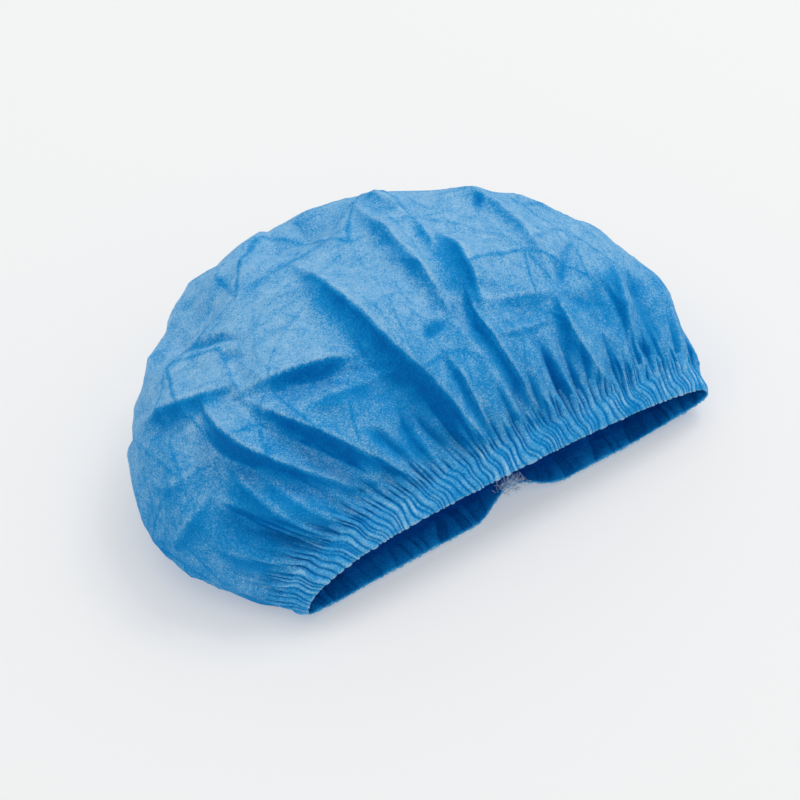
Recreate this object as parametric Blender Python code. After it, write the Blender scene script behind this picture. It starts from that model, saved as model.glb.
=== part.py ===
# Disposable hairnet: a bag of thin non-woven cloth with a gathered elastic hem, lying on its side.
# X runs along the mouth, the mouth faces -Y, the crown fills out towards +Y, and Z is up from the table.
# Places on the cloth have two numbers. The hour goes round the cap on a dial of 24: 0 is the left end,
# 6 the top, 12 the right end and 18 the underside. Along goes from 0 at the seam to 1 at the back.
import bmesh
import bpy
import numpy as np

MM = 0.001
DIAL = 24.0
CURVE_POINTS = 721

# Mouth, at the seam between hem and crown
MOUTH_WIDTH = 237 * MM
MOUTH_HEIGHT = 41 * MM

# Crown, as it bulges behind the mouth
CROWN_LEFT = 148 * MM
CROWN_RIGHT = 132 * MM
CROWN_HEIGHT = 99 * MM
CROWN_DEPTH = 172 * MM
CROWN_WALL = 1.4 * MM

# Hem: a casing folded round the elastic and the edge of the crown
HEM_DEPTH = 14 * MM
HEM_WALL = 1.2 * MM
CLEARANCE = 0.3 * MM
CROWN_TUCK = 5 * MM
HEM_STEP = 0.4 * MM

# The folded edge of the casing: where its leaves start to close and where its inside ends, both as
# wall thicknesses above the rim, and how far the leaves stand apart there
HEM_SHOULDER_WALLS = 1.2
HEM_SLOT_WALLS = 1.8
HEM_SHOULDER_SHARE = 0.85

# Elastic, a flat strip that lies in the fold of the casing
ELASTIC_WIDTH = 4.5 * MM
ELASTIC_THICKNESS = 1.2 * MM

# Gathers: each is one crest and one trough of the cloth. The hem's are lowest at the seam and highest
# half-way down. The crown's puckers and its two runs of pleats fade out along the cloth.
GATHER_COUNT = 66
HEM_GATHER = 1.1 * MM
GATHER_AT_SEAM_SHARE = 0.35
GATHER_AT_SHOULDER_SHARE = 0.8
PUCKER = 1.6 * MM
PUCKER_FADE_SHARES = (0.02, 0.07)
PLEAT = 2.6 * MM
PLEAT_COUNTS = (29, 19)
PLEAT_FADE_SHARES = (0.04, 0.26)

# Folds are listed as shares of these. Each is worked out in steps, fades out over the given share of
# its length at both ends, and has flanks that are straight at a power of 1 and sag above it.
FOLD_RISE = 10 * MM
FOLD_REACH = 20 * MM
FOLD_STEPS = 16
FOLD_FADE_SHARE = 0.2
FOLD_FLANK_POWER = 1.15

# Join of the hem, where its lower edge is pulled back and up and tacked. The seam is pulled a share
# of that way, and the cloth behind it less and less up to a place along the crown.
JOIN_X = 4 * MM
JOIN_REACH = 26 * MM
JOIN_BACK = 6.5 * MM
JOIN_LIFT = 6 * MM
SEAM_PULL_SHARE = 0.4
PULL_END_SHARE = 0.08

# Where the underside of the crown has come down from the hem to the table
HEM_LEAVE_SHARE = 0.06

# Tack: a knot that clasps the rim of the hem at the join
TACK_WIDTH = 11 * MM
TACK_DEPTH = 5 * MM
TACK_WALL = 1.3 * MM
TACK_LUMP = 0.8 * MM
TACK_COLUMNS = 9
TACK_TIP_SHARE = 0.35
TACK_TURN_WALLS = 0.6

# Sections across the cap. back_top and back_low are shares of the crown's depth, at the top and the
# underside; mouth is the share of the mouth's size still in the section; left and right are shares of
# the crown's reach each way, top and low of its height; peak is the crest's place as a share of the
# left reach; square is the roundness of the section; waist_left and waist_right are the heights of the
# widest points as shares of the section's height.
SECTION_COLUMNS = ("along", "back_top", "back_low", "mouth", "left", "right", "peak", "top", "low",
                   "square", "waist_left", "waist_right")
SECTIONS = (
    (0.00, 0.000, 0.055, 1.00, 0.00, 0.00, 0.35, 0.00, 0.00, 2.3, 0.21, 0.32),
    (0.06, 0.038, 0.100, 0.66, 0.34, 0.34, 0.28, 0.29, -0.04, 2.2, 0.23, 0.36),
    (0.16, 0.107, 0.180, 0.30, 0.70, 0.70, 0.20, 0.63, -0.08, 2.1, 0.25, 0.38),
    (0.30, 0.229, 0.290, 0.00, 1.00, 1.00, 0.16, 0.92, -0.09, 2.1, 0.26, 0.40),
    (0.46, 0.414, 0.450, 0.00, 0.99, 0.99, 0.14, 1.00, -0.09, 2.1, 0.27, 0.40),
    (0.62, 0.612, 0.600, 0.00, 0.93, 0.89, 0.12, 1.00, -0.08, 2.0, 0.28, 0.40),
    (0.76, 0.790, 0.740, 0.00, 0.76, 0.71, 0.12, 0.93, -0.05, 2.0, 0.31, 0.41),
    (0.87, 0.910, 0.845, 0.00, 0.55, 0.48, 0.17, 0.79, 0.02, 2.0, 0.36, 0.43),
    (0.95, 0.972, 0.925, 0.00, 0.34, 0.21, 0.30, 0.61, 0.16, 2.0, 0.44, 0.46),
    (1.00, 1.000, 0.994, 0.00, 0.13, -0.10, 0.86, 0.40, 0.37, 2.0, 0.50, 0.50),
)

# How far the rim stands from the seam, as shares of the hem's depth
RIM_STEP = {"back_top": -0.75, "back_low": -1.0, "left": -0.40, "right": -0.22, "top": -0.61, "low": 0.11}

# Small steps round the dial and along the cloth, over which slopes are measured
HOUR_STEP = 0.1
ALONG_STEP = 0.01

# Main folds. Each runs through three places on the cloth; rise is a share of FOLD_RISE, negative for a
# valley, and the two widths are shares of FOLD_REACH, on the left and the right of the fold's way.
FOLD_COLUMNS = ("name", "hour_1", "along_1", "hour_2", "along_2", "hour_3", "along_3",
                "rise", "left_width", "right_width")
FOLDS = (
    ("long ridge", 5.7, 0.64, 5.7, 0.36, 5.9, 0.03, 0.90, 1.70, 0.80),
    ("hollow left of the long ridge", 5.4, 0.40, 5.2, 0.20, 5.2, 0.04, -0.75, 0.80, 1.20),
    ("second ridge", 7.3, 0.58, 6.9, 0.32, 6.9, 0.04, 0.65, 0.60, 1.30),
    ("second valley", 7.5, 0.38, 7.2, 0.20, 7.2, 0.03, -0.95, 0.45, 0.70),
    ("cross valley", 3.3, 0.38, 4.2, 0.33, 5.3, 0.29, -0.65, 0.45, 1.00),
    ("cross ridge", 3.7, 0.27, 4.5, 0.25, 5.4, 0.23, 0.40, 0.55, 0.60),
    ("wide valley", 3.3, 0.38, 3.4, 0.22, 3.5, 0.02, -0.90, 0.45, 0.90),
    ("ridge above the wide valley", 3.6, 0.31, 3.8, 0.18, 4.0, 0.03, 0.55, 1.20, 0.50),
    ("left valley", 2.6, 0.43, 2.6, 0.26, 3.0, 0.03, -0.85, 0.45, 0.90),
    ("left ridge", 2.1, 0.31, 2.6, 0.17, 2.6, 0.03, 0.55, 0.50, 0.90),
    ("left edge", 1.9, 0.57, 2.7, 0.46, 3.5, 0.38, 0.45, 0.80, 0.60),
    ("small left crease", 2.6, 0.64, 3.2, 0.58, 3.6, 0.48, -0.35, 0.50, 0.50),
    ("lower left ridge", 2.0, 0.25, 1.9, 0.12, 1.9, 0.03, 0.55, 0.60, 0.60),
    ("lower left valley", 1.5, 0.27, 1.5, 0.15, 1.7, 0.04, -0.75, 0.45, 0.80),
    ("left belly line", 0.3, 0.28, 1.1, 0.26, 1.9, 0.25, 0.35, 0.60, 0.50),
    ("low left ridge", 0.8, 0.19, 1.0, 0.10, 1.0, 0.03, 0.45, 0.60, 0.60),
    ("top valley", 7.7, 0.72, 7.4, 0.57, 7.2, 0.44, -0.60, 0.45, 0.80),
    ("flat back of the top", 4.6, 0.80, 5.6, 0.74, 7.0, 0.72, -0.75, 1.60, 1.40),
    ("left shoulder flat", 3.0, 0.72, 3.8, 0.70, 4.6, 0.72, -0.45, 1.20, 1.20),
    ("back corner", 7.9, 0.80, 7.9, 0.70, 7.8, 0.60, 0.55, 0.80, 0.80),
    ("right corner", 10.2, 0.62, 9.9, 0.53, 9.4, 0.42, 0.60, 0.80, 0.80),
    ("star crease left", 8.9, 0.25, 8.3, 0.25, 7.6, 0.24, 0.35, 0.50, 0.50),
    ("star crease up", 9.0, 0.26, 9.2, 0.38, 9.6, 0.50, -0.50, 0.60, 0.60),
    ("star crease down", 9.0, 0.25, 9.0, 0.15, 9.2, 0.03, -0.45, 0.55, 0.55),
    ("right valley", 10.2, 0.30, 10.0, 0.20, 10.1, 0.10, -0.50, 0.55, 0.50),
    ("right ridge", 10.8, 0.31, 10.5, 0.22, 10.3, 0.06, 0.50, 0.55, 0.55),
    ("far right valley", 11.0, 0.31, 11.0, 0.20, 10.8, 0.05, -0.45, 0.50, 0.55),
    ("right end ridge", 12.1, 0.42, 11.8, 0.24, 11.6, 0.05, 0.45, 0.60, 0.60),
    ("right end valley", 13.0, 0.50, 12.6, 0.26, 12.4, 0.06, -0.60, 0.70, 0.70),
    ("back ridge", 10.6, 0.92, 11.2, 0.78, 11.6, 0.58, 0.60, 0.80, 0.80),
    ("back valley", 9.0, 0.92, 9.6, 0.82, 10.4, 0.70, -0.55, 0.70, 0.70),
    ("back left ridge", 3.0, 0.94, 2.2, 0.84, 1.4, 0.68, 0.65, 0.80, 0.80),
    ("back left valley", 0.8, 0.90, 0.6, 0.74, 0.9, 0.56, -0.60, 0.80, 0.80),
    ("low back ridge", 22.6, 0.92, 22.9, 0.78, 23.4, 0.60, 0.50, 0.80, 0.80),
    ("low right ridge", 14.0, 0.90, 13.5, 0.76, 13.3, 0.60, 0.50, 0.80, 0.80),
)

# Loops of the crown's mesh: place along the cloth and number of points round it, less towards the back
CROWN_LOOPS = (
    (0.020, 132), (0.045, 132), (0.080, 108), (0.120, 96), (0.165, 96), (0.215, 96), (0.270, 96),
    (0.325, 96), (0.380, 96), (0.440, 96), (0.500, 96), (0.560, 96), (0.620, 84), (0.680, 72),
    (0.740, 60), (0.800, 60), (0.860, 48), (0.915, 36), (0.960, 18),
)
CROWN_COLOR = (0.09, 0.33, 0.70, 1.0)
HEM_COLOR = (0.06, 0.29, 0.66, 1.0)
ELASTIC_COLOR = (0.80, 0.82, 0.84, 1.0)
TACK_COLOR = (0.55, 0.66, 0.78, 1.0)


def clear_scene():
    """Start from an empty scene."""
    for item in list(bpy.data.objects):
        bpy.data.objects.remove(item)


def smooth(share):
    """Ease from 0 to 1."""
    share = np.clip(share, 0.0, 1.0)
    return share * share * (3.0 - 2.0 * share)


def section(along):
    """The section at one place along the crown, its lengths in metres, by a monotone cubic."""
    table = np.array(SECTIONS)
    places = table[:, 0]
    steps = np.diff(places)
    slopes = np.diff(table, axis=0) / steps[:, None]
    tangents = np.vstack([slopes[0], 0.0 * slopes[1:], slopes[-1]])
    same_way = slopes[:-1] * slopes[1:] > 0.0
    near = 2.0 * steps[1:] + steps[:-1]
    far = steps[1:] + 2.0 * steps[:-1]
    safe_before = np.where(same_way, slopes[:-1], 1.0)
    safe_after = np.where(same_way, slopes[1:], 1.0)
    mean = (near + far)[:, None] / (near[:, None] / safe_before + far[:, None] / safe_after)
    tangents[1:-1] = np.where(same_way, mean, 0.0)
    at = int(np.clip(np.searchsorted(places, along, side="right") - 1, 0, len(steps) - 1))
    step = steps[at]
    t = (along - places[at]) / step
    row = ((1.0 + 2.0 * t) * (1.0 - t) ** 2 * table[at] + t * (1.0 - t) ** 2 * step * tangents[at]
           + t * t * (3.0 - 2.0 * t) * table[at + 1] + t * t * (t - 1.0) * step * tangents[at + 1])
    share = dict(zip(SECTION_COLUMNS, row))
    half_mouth = 0.5 * MOUTH_WIDTH
    left = share["mouth"] * half_mouth + share["left"] * CROWN_LEFT
    return {
        "back_top": share["back_top"] * CROWN_DEPTH,
        "back_low": share["back_low"] * CROWN_DEPTH,
        "left": left,
        "right": share["mouth"] * half_mouth + share["right"] * CROWN_RIGHT,
        "peak": -share["peak"] * left,
        "top": share["mouth"] * MOUTH_HEIGHT + share["top"] * CROWN_HEIGHT,
        "low": share["low"] * CROWN_HEIGHT,
        "square": share["square"],
        "waist_left": share["waist_left"],
        "waist_right": share["waist_right"],
    }


def rim_section():
    """The section at the rim of the hem, stepped off from the seam's."""
    rim = section(0.0)
    for key, share in RIM_STEP.items():
        rim[key] += share * HEM_DEPTH
    return rim


def section_curve(cut):
    """Fine points round a section, a skewed superellipse that starts at the left end."""
    turn = np.linspace(0.0, 2.0 * np.pi, CURVE_POINTS)
    across = -np.cos(turn)
    rise = np.sin(turn)
    width = np.where(across < 0.0, cut["peak"] + cut["left"], cut["right"] - cut["peak"])
    mix = 0.5 + 0.5 * across
    waist_share = cut["waist_left"] + (cut["waist_right"] - cut["waist_left"]) * mix
    waist = cut["low"] + waist_share * (cut["top"] - cut["low"])
    height = np.where(rise > 0.0, cut["top"] - waist, waist - cut["low"])
    bend = 2.0 / cut["square"]
    x = cut["peak"] + width * np.sign(across) * np.abs(across) ** bend
    y = cut["back_low"] + (cut["back_top"] - cut["back_low"]) * (0.5 + 0.5 * rise)
    z = waist + height * np.sign(rise) * np.abs(rise) ** bend
    return x, y, z


def loop_points(cut, hours, guide=None):
    """Points round a section, spaced by its own length or by the length of a guide section."""
    curve = section_curve(cut)
    guide_x, _, guide_z = curve if guide is None else section_curve(guide)
    way = np.concatenate([[0.0], np.cumsum(np.hypot(np.diff(guide_x), np.diff(guide_z)))])
    wanted = np.mod(hours, DIAL) / DIAL * way[-1]
    return np.stack([np.interp(wanted, way, values) for values in curve], axis=1)


def pull_at_join(points, hours, share):
    """Pull the lower edge back and up where the hem is joined."""
    reach = np.clip((points[:, 0] - JOIN_X) / JOIN_REACH, -1.0, 1.0)
    amount = share * np.cos(0.5 * np.pi * reach) ** 2 * (np.mod(hours, DIAL) > 0.5 * DIAL)
    pulled = points.copy()
    pulled[:, 1] += JOIN_BACK * amount
    pulled[:, 2] += JOIN_LIFT * amount
    return pulled


def crown_base(hours, along):
    """The crown's smooth middle surface, without folds."""
    seam_share = SEAM_PULL_SHARE * (1.0 - smooth(along / PULL_END_SHARE))
    return pull_at_join(loop_points(section(along), hours), hours, seam_share)


def hem_outside():
    """Distance from the hem's middle surface to its outer face."""
    return 0.5 * CROWN_WALL + CLEARANCE + HEM_WALL


def hem_floor():
    """Least height of the hem's middle surface, whose gathers then just meet the table."""
    return hem_outside() + HEM_GATHER


def hem_middle(hours, depth):
    """The hem's middle surface, straight from the seam to the rim."""
    seam = loop_points(section(0.0), hours)
    rim = loop_points(rim_section(), hours, section(0.0))
    for loop in (seam, rim):
        loop[:, 2] = np.maximum(loop[:, 2], hem_floor())
    seam = pull_at_join(seam, hours, SEAM_PULL_SHARE)
    rim = pull_at_join(rim, hours, 1.0)
    return seam + (rim - seam) * (depth / HEM_DEPTH)


def hem_normals(hours, depth):
    """Outward directions of the hem's middle surface."""
    ahead = hem_middle(hours + 0.5 * HOUR_STEP, depth) - hem_middle(hours - 0.5 * HOUR_STEP, depth)
    down = hem_middle(hours, HEM_DEPTH) - hem_middle(hours, 0.0)
    normals = np.cross(down, ahead)
    return normals / np.linalg.norm(normals, axis=1)[:, None]


def fold_paths():
    """Each fold as points on the smooth crown, with its dial places."""
    t = np.linspace(0.0, 1.0, FOLD_STEPS + 1)
    paths = []
    for row in FOLDS:
        fold = dict(zip(FOLD_COLUMNS, row))
        start = (1.0 - t) * (1.0 - 2.0 * t)
        middle = 4.0 * t * (1.0 - t)
        end = t * (2.0 * t - 1.0)
        hours = start * fold["hour_1"] + middle * fold["hour_2"] + end * fold["hour_3"]
        alongs = start * fold["along_1"] + middle * fold["along_2"] + end * fold["along_3"]
        points = [crown_base(np.array([hour]), along)[0] for hour, along in zip(hours, alongs)]
        paths.append((fold, hours, alongs, np.array(points)))
    return paths


def fade_ends(place):
    """1 in the middle of a fold, less at its two ends."""
    near = np.minimum(place, 1.0 - place)
    return smooth(near / FOLD_FADE_SHARE + 0.25)


def fold_relief(base, hours, along, paths):
    """Sum of the folds' rises at points on the crown, each from its distance to the fold's line."""
    t = np.linspace(0.0, 1.0, FOLD_STEPS + 1)
    relief = np.zeros(len(base))
    picked = np.arange(len(base))
    for fold, fold_hours, fold_alongs, line in paths:
        ways = np.diff(line, axis=0)
        offsets = base[:, None, :] - line[None, :-1, :]
        shares = np.clip(np.sum(offsets * ways, axis=2) / np.sum(ways * ways, axis=1), 0.0, 1.0)
        gaps = np.linalg.norm(offsets - shares[:, :, None] * ways, axis=2)
        nearest = np.argmin(gaps, axis=1)
        place = (nearest + shares[picked, nearest]) / FOLD_STEPS
        off_hours = hours - np.interp(place, t, fold_hours)
        off_hours = np.mod(off_hours + 0.5 * DIAL, DIAL) - 0.5 * DIAL
        off_alongs = along - np.interp(place, t, fold_alongs)
        side = np.diff(fold_hours)[nearest] * off_alongs - np.diff(fold_alongs)[nearest] * off_hours
        width = np.where(side > 0.0, fold["left_width"], fold["right_width"]) * FOLD_REACH
        share = np.clip(1.0 - gaps[picked, nearest] / width, 0.0, 1.0)
        relief += fold["rise"] * FOLD_RISE * share ** FOLD_FLANK_POWER * fade_ends(place)
    return relief


def fade(along, ends):
    """1 up to the first place along the cloth, 0 beyond the second."""
    return 1.0 - smooth((along - ends[0]) / (ends[1] - ends[0]))


def gather_relief(hours, along):
    """Small puckers and longer pleats that fan out from the seam, neither quite regular."""
    turn = 2.0 * np.pi * hours / DIAL
    pucker = np.cos(GATHER_COUNT * turn) * (0.75 + 0.25 * np.sin(7.0 * turn + 1.0))
    wander = 2.2 * np.sin(3.0 * turn)
    pleat = 0.5 * np.sin(PLEAT_COUNTS[0] * turn + wander) + 0.5 * np.sin(PLEAT_COUNTS[1] * turn + 1.0)
    return PUCKER * pucker * fade(along, PUCKER_FADE_SHARES) + PLEAT * pleat * fade(along, PLEAT_FADE_SHARES)


def surface_normals(surface, hours, along, hour_step, along_step):
    """Outward directions of a surface given as a function of hours and along."""
    around = surface(hours + hour_step, along) - surface(hours - hour_step, along)
    back = surface(hours, min(along + along_step, 1.0)) - surface(hours, max(along - along_step, 0.0))
    normals = np.cross(around, back)
    return normals / np.linalg.norm(normals, axis=1)[:, None]


def crown_cloth(hours, along, paths):
    """The crown's middle surface with its folds and gathers, which the seam holds flat."""
    base = crown_base(hours, along)
    normals = surface_normals(crown_base, hours, along, HOUR_STEP, ALONG_STEP)
    relief = fold_relief(base, hours, along, paths) + gather_relief(hours, along)
    return base + normals * (relief * fade(along, (PUCKER_FADE_SHARES[0], 0.0)))[:, None]


def crown_layer(hours, along, offset, paths):
    """Points of one face of the crown, kept on or above the table."""
    def cloth(at_hours, at_along):
        return crown_cloth(at_hours, at_along, paths)

    # Slopes are measured over two thirds of a column, so that sharp folds don't cross their other face
    normals = surface_normals(cloth, hours, along, 2.0 / 3.0 * DIAL / len(hours), 2.0 * ALONG_STEP)
    points = cloth(hours, along) + offset * normals
    leaving = fade(along, (0.0, HEM_LEAVE_SHARE))
    lowest = 0.5 * CROWN_WALL + (hem_floor() - 0.5 * CROWN_WALL) * leaving
    points[:, 2] = np.maximum(points[:, 2], lowest - offset)
    return points


def hem_layer(hours, depth, offset, bulge=0.0):
    """Points on or in the hem, at a depth below the seam and an offset from its middle surface."""
    middle = hem_middle(hours, depth)
    pitch = 2.0 * MOUTH_WIDTH / GATHER_COUNT
    from_tack = np.abs(middle[:, 0] - JOIN_X) - 0.5 * TACK_WIDTH - pitch
    pinched = (1.0 - smooth(from_tack / pitch)) * (np.mod(hours, DIAL) > 0.5 * DIAL)
    wave = 0.5 + 0.5 * np.cos(GATHER_COUNT * 2.0 * np.pi * hours / DIAL)
    stand_off = offset + np.sign(offset) * bulge * wave * (1.0 - pinched)
    return middle + hem_normals(hours, depth) * stand_off[:, None]


def ring_hours(count):
    """Evenly spaced hours round the dial."""
    return np.arange(count) * DIAL / count


def zip_loops(first, second):
    """Triangles between two loops of point numbers that may differ in count."""
    triangles = []
    i = 0
    j = 0
    while i < len(first) or j < len(second):
        here = first[i % len(first)]
        there = second[j % len(second)]
        if j == len(second) or (i < len(first) and (i + 1) / len(first) <= (j + 1) / len(second)):
            triangles.append((here, first[(i + 1) % len(first)], there))
            i += 1
        else:
            triangles.append((here, second[(j + 1) % len(second)], there))
            j += 1
    return triangles


def make_material(name, color, roughness):
    """A plain Principled material."""
    material = bpy.data.materials.new(name)
    material.use_nodes = True
    shader = material.node_tree.nodes["Principled BSDF"]
    shader.inputs["Base Color"].default_value = color
    shader.inputs["Roughness"].default_value = roughness
    shader.inputs["Metallic"].default_value = 0.0
    return material


def make_object(name, points, triangles, material):
    """A smooth-shaded mesh object with its faces pointing out."""
    mesh = bpy.data.meshes.new(name)
    mesh.from_pydata([tuple(point) for point in points], [], triangles)
    work = bmesh.new()
    work.from_mesh(mesh)
    bmesh.ops.recalc_face_normals(work, faces=work.faces)
    work.to_mesh(mesh)
    work.free()
    mesh.shade_smooth()
    mesh.materials.append(material)
    made = bpy.data.objects.new(name, mesh)
    bpy.context.scene.collection.objects.link(made)
    return made


class Skin:
    """A mesh made of strips between loops of points."""

    def __init__(self):
        self.points = []
        self.triangles = []

    def loop(self, points):
        """Add a loop of points and give their numbers."""
        start = len(self.points)
        self.points += [tuple(point) for point in points]
        return list(range(start, len(self.points)))

    def face(self, layers):
        """Add a run of loops with a strip between each two, and give all their numbers."""
        loops = [self.loop(points) for points in layers]
        for first, second in zip(loops[:-1], loops[1:]):
            self.triangles += zip_loops(first, second)
        return loops

    def strip(self, first, second):
        """Join two loops that are already there."""
        self.triangles += zip_loops(first, second)

    def close(self, loop):
        """Close a small loop with a fan about its middle."""
        centre = np.mean([self.points[number] for number in loop], axis=0)
        pole = self.loop([centre])[0]
        self.triangles += [(here, there, pole) for here, there in zip(loop, loop[1:] + loop[:1])]


def build_crown(material):
    """The hollow bag, its edge tucked into the hem."""
    paths = fold_paths()
    mouth_hours = ring_hours(2 * GATHER_COUNT)
    skin = Skin()
    faces = []
    for offset in (0.5 * CROWN_WALL, -0.5 * CROWN_WALL):
        layers = [hem_layer(mouth_hours, CROWN_TUCK, offset), hem_layer(mouth_hours, 0.0, offset)]
        layers += [crown_layer(ring_hours(count), along, offset, paths) for along, count in CROWN_LOOPS]
        faces.append(skin.face(layers))
        skin.close(faces[-1][-1])
    skin.strip(faces[0][0], faces[1][0])
    return make_object("crown", skin.points, skin.triangles, material)


def build_hem(material):
    """The gathered casing, a long U in section with its open edge at the seam."""
    hours = ring_hours(2 * GATHER_COUNT)
    outside = hem_outside()
    inside = outside - HEM_WALL
    shoulder = HEM_DEPTH - HEM_SHOULDER_WALLS * HEM_WALL
    slot_end = HEM_DEPTH - HEM_SLOT_WALLS * HEM_WALL
    skin = Skin()
    leaves = []
    slots = []
    for side in (1.0, -1.0):
        leaves.append(skin.face([
            hem_layer(hours, HEM_STEP, side * outside, GATHER_AT_SEAM_SHARE * HEM_GATHER),
            hem_layer(hours, 0.5 * HEM_DEPTH, side * outside, HEM_GATHER),
            hem_layer(hours, shoulder, HEM_SHOULDER_SHARE * side * outside,
                      GATHER_AT_SHOULDER_SHARE * HEM_GATHER),
        ]))
        slots.append(skin.face([
            hem_layer(hours, HEM_STEP, side * inside),
            hem_layer(hours, slot_end, side * inside),
        ]))
        skin.strip(leaves[-1][0], slots[-1][0])
    skin.strip(slots[0][-1], slots[1][-1])
    tip = skin.loop(hem_layer(hours, HEM_DEPTH, 0.0))
    for leaf in leaves:
        skin.strip(leaf[-1], tip)
    return make_object("hem", skin.points, skin.triangles, material)


def build_elastic(material):
    """The flat strip inside the casing, next to the edge of the crown."""
    hours = ring_hours(2 * GATHER_COUNT)
    start = CROWN_TUCK + 2.0 * CLEARANCE
    skin = Skin()
    faces = [
        skin.face([hem_layer(hours, depth, offset) for depth in (start, start + ELASTIC_WIDTH)])
        for offset in (0.5 * ELASTIC_THICKNESS, -0.5 * ELASTIC_THICKNESS)
    ]
    for first, second in zip(*faces):
        skin.strip(first, second)
    return make_object("elastic", skin.points, skin.triangles, material)


def join_hour():
    """The hour on the underside of the rim that lies at the join."""
    hours = np.linspace(13.0, 23.0, 2001)
    rim = hem_middle(hours, HEM_DEPTH)
    return hours[np.argmin(np.abs(rim[:, 0] - JOIN_X))]


def build_tack(material):
    """The knot of torn fibres that clasps the rim at the join, a U in section."""
    centre = join_hour()
    spread = hem_middle(np.array([centre - 0.5, centre + 0.5]), HEM_DEPTH)
    hour_length = np.linalg.norm(spread[1] - spread[0])
    places = np.linspace(-1.0, 1.0, TACK_COLUMNS)
    hours = centre + 0.5 * TACK_WIDTH / hour_length * places
    lump = TACK_LUMP * (0.5 + 0.5 * np.cos(3.0 * np.arange(TACK_COLUMNS))) * np.sqrt(1.0 - places ** 2)
    rim = hem_middle(hours, HEM_DEPTH)
    down = rim - hem_middle(hours, 0.0)
    down /= np.linalg.norm(down, axis=1)[:, None]
    normals = hem_normals(hours, HEM_DEPTH)
    near = hem_outside() + CLEARANCE
    runs = []
    for thickness, grown in ((TACK_WALL, lump), (0.0, 0.0)):
        reach = near + thickness
        tip = CLEARANCE + thickness
        turn = -TACK_TURN_WALLS * HEM_WALL
        profile = (
            (-TACK_DEPTH, reach), (turn, reach), (tip, TACK_TIP_SHARE * reach),
            (tip, -TACK_TIP_SHARE * reach), (turn, -reach), (-TACK_DEPTH, -reach),
        )
        runs.append([
            rim + depth * down + normals * (offset + np.sign(offset) * grown * np.ones(TACK_COLUMNS))[:, None]
            for depth, offset in profile
        ])
    rings = np.array(runs[0] + runs[1][::-1])
    count = len(rings)
    points = rings.transpose(1, 0, 2).reshape(-1, 3)
    quads = []
    for column in range(TACK_COLUMNS - 1):
        start = column * count
        quads += [
            (start + row, start + (row + 1) % count, start + count + (row + 1) % count, start + count + row)
            for row in range(count)
        ]
    for start in (0, (TACK_COLUMNS - 1) * count):
        quads += [
            (start + row, start + row + 1, start + count - 2 - row, start + count - 1 - row)
            for row in range(count // 2 - 1)
        ]
    triangles = [(a, b, c) for a, b, c, d in quads] + [(a, c, d) for a, b, c, d in quads]
    return make_object("hem_join", points, triangles, material)


def centre_on_table(parts):
    """Move the whole part so that its origin is the middle of its base."""
    corners = np.array([vertex.co[:] for part in parts for vertex in part.data.vertices])
    low = corners.min(axis=0)
    high = corners.max(axis=0)
    shift = np.array([0.5 * (low[0] + high[0]), 0.5 * (low[1] + high[1]), low[2]])
    for part in parts:
        for vertex in part.data.vertices:
            vertex.co = [value - step for value, step in zip(vertex.co, shift)]
    print("moved by", -shift)


def main():
    """Build the four pieces and set them on the table."""
    clear_scene()
    parts = [
        build_crown(make_material("crown_cloth", CROWN_COLOR, 0.7)),
        build_hem(make_material("hem_cloth", HEM_COLOR, 0.7)),
        build_elastic(make_material("elastic_strip", ELASTIC_COLOR, 0.6)),
        build_tack(make_material("tack_fibres", TACK_COLOR, 0.8)),
    ]
    centre_on_table(parts)


main()
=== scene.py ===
import bmesh
import bpy
import numpy as np
from mathutils import Matrix, Vector, noise
from mathutils.geometry import delaunay_2d_cdt

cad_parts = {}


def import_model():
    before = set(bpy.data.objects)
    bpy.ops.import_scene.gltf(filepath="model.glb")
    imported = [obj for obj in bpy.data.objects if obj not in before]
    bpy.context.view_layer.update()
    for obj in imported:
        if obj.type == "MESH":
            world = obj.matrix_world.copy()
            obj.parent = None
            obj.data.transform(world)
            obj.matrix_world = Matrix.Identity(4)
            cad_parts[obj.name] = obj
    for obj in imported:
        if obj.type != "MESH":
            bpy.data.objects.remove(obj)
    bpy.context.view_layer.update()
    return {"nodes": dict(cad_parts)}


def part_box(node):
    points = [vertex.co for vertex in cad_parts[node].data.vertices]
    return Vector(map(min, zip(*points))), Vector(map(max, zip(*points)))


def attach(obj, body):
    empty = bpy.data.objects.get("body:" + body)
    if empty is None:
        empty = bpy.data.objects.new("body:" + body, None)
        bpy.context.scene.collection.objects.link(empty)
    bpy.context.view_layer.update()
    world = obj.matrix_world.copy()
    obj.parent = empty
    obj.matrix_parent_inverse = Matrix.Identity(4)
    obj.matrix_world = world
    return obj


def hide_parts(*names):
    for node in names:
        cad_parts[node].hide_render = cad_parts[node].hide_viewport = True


MM = 0.001
DIAL = 24.0
CURVE_POINTS = 1441

# Sizes of the cap, as in the frame's own source
MOUTH_WIDTH = 237 * MM
MOUTH_HEIGHT = 41 * MM
CROWN_LEFT = 148 * MM
CROWN_RIGHT = 132 * MM
CROWN_HEIGHT = 99 * MM
CROWN_DEPTH = 172 * MM
CROWN_WALL = 1.4 * MM
HEM_DEPTH = 14 * MM
HEM_WALL = 1.2 * MM
CLEARANCE = 0.3 * MM
CROWN_TUCK = 5 * MM
ELASTIC_WIDTH = 4.5 * MM
ELASTIC_THICKNESS = 1.2 * MM
HEM_GATHER = 1.1 * MM
FRAME_GATHERS = 66
FOLD_RISE = 10 * MM
FOLD_REACH = 20 * MM
JOIN_X = 4 * MM
JOIN_REACH = 26 * MM
JOIN_BACK = 6.5 * MM
JOIN_LIFT = 6 * MM
SEAM_PULL = 0.4
PULL_END = 0.08
HEM_LEAVE = 0.06
TACK_WIDTH = 11 * MM

# The disc that the cap was cut from
CUT_DISC = 508 * MM

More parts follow.
